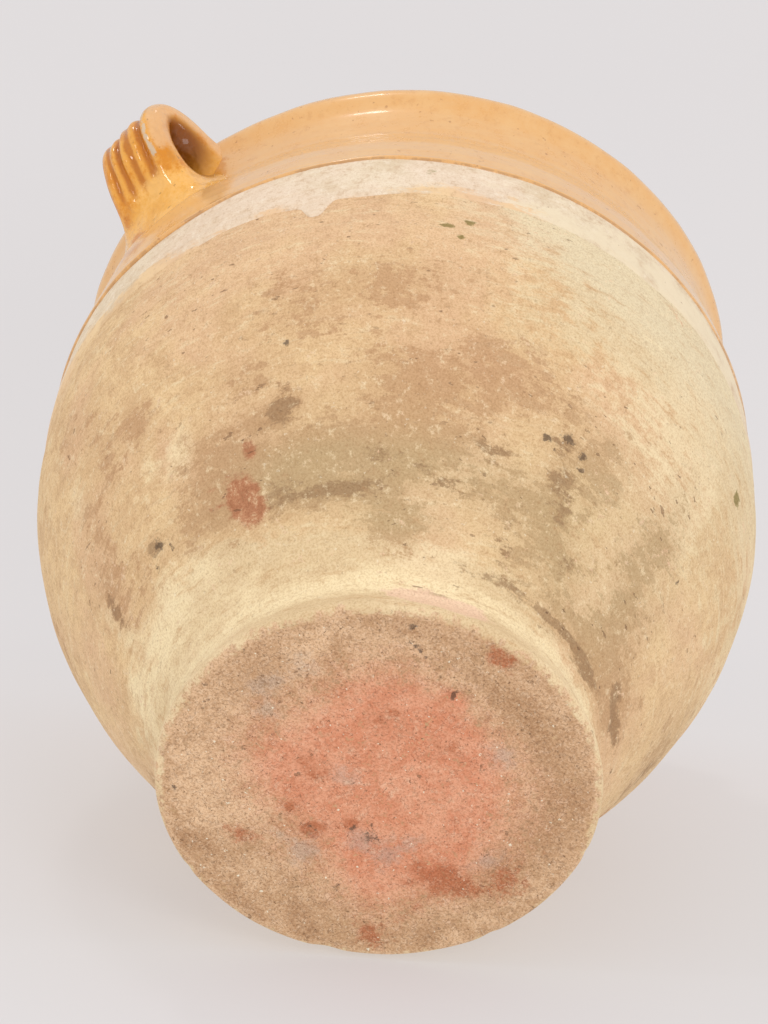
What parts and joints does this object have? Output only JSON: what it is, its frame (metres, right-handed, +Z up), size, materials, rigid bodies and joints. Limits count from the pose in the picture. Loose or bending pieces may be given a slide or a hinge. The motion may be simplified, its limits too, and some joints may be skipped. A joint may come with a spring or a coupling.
{
  "type": "preserves pot",
  "caption": "Half-glazed earthenware preserves pot: round belly on a narrow foot, wide mouth with a rolled lip, fluted ear handles, honey glaze above bare buff clay.",
  "frame": {"origin": "middle of the flat base, on the surface that the pot stands on", "axes": "+Z up along the turning axis towards the mouth, X through the two ear handles, with the pictured handle at -X"},
  "size_m": [0.3484, 0.3006, 0.2981],
  "materials": {
    "buff_clay": "bare fired earthenware with a thin buff wash, stained and worn, matt",
    "cream_slip": "cream slip, dry and matt",
    "honey_glaze": "thin honey lead glaze over slip, soft gloss",
    "amber_glaze": "honey glaze pooled darker amber in the flutes, wet gloss",
    "inside_glaze": "honey glaze lining, soft gloss"
  },
  "bodies": {
    "root": {"thrown_body": "buff_clay", "left_ear_handle": "amber_glaze", "right_ear_handle": "amber_glaze", "slip_coat": "cream_slip", "outer_glaze": "honey_glaze", "inner_glaze": "inside_glaze"}
  },
  "joints": []
}
